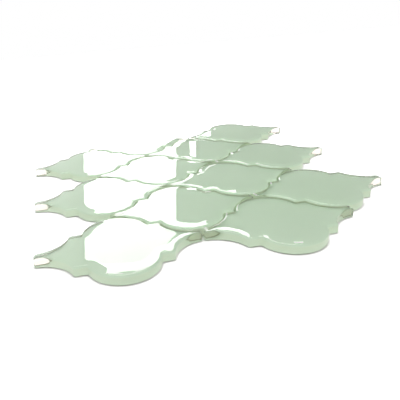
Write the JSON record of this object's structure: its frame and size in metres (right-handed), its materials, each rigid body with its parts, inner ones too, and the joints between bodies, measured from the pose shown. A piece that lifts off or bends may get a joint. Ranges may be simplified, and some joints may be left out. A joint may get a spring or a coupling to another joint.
{
  "type": "arabesque tile sheet",
  "caption": "Flat sheet of interlocking lantern-shaped clear glass tiles, pale green behind, with rounded face edges and open joints, held together by a net on their backs.",
  "frame": {"origin": "middle of the sheet's outline, on the underside of the net", "axes": "+X along the rows, tip to tip of the tiles; +Y across the rows, towards the back row; +Z out of the tiles' faces"},
  "size_m": [0.311, 0.34, 0.0084],
  "materials": {
    "tile_glass": "clear, polished, pale sage-green colour fired on the back",
    "net_fibre": "open net of coated glass fibre, matt off-white"
  },
  "bodies": {
    "root": {"row_1_tile_1": "tile_glass", "row_1_tile_2": "tile_glass", "row_2_tile_1": "tile_glass", "row_2_tile_2": "tile_glass", "row_3_tile_1": "tile_glass", "row_3_tile_2": "tile_glass", "row_4_tile_1": "tile_glass", "row_4_tile_2": "tile_glass", "row_5_tile_1": "tile_glass", "row_5_tile_2": "tile_glass", "row_6_tile_1": "tile_glass", "row_6_tile_2": "tile_glass", "backing_net": "net_fibre"}
  },
  "joints": []
}
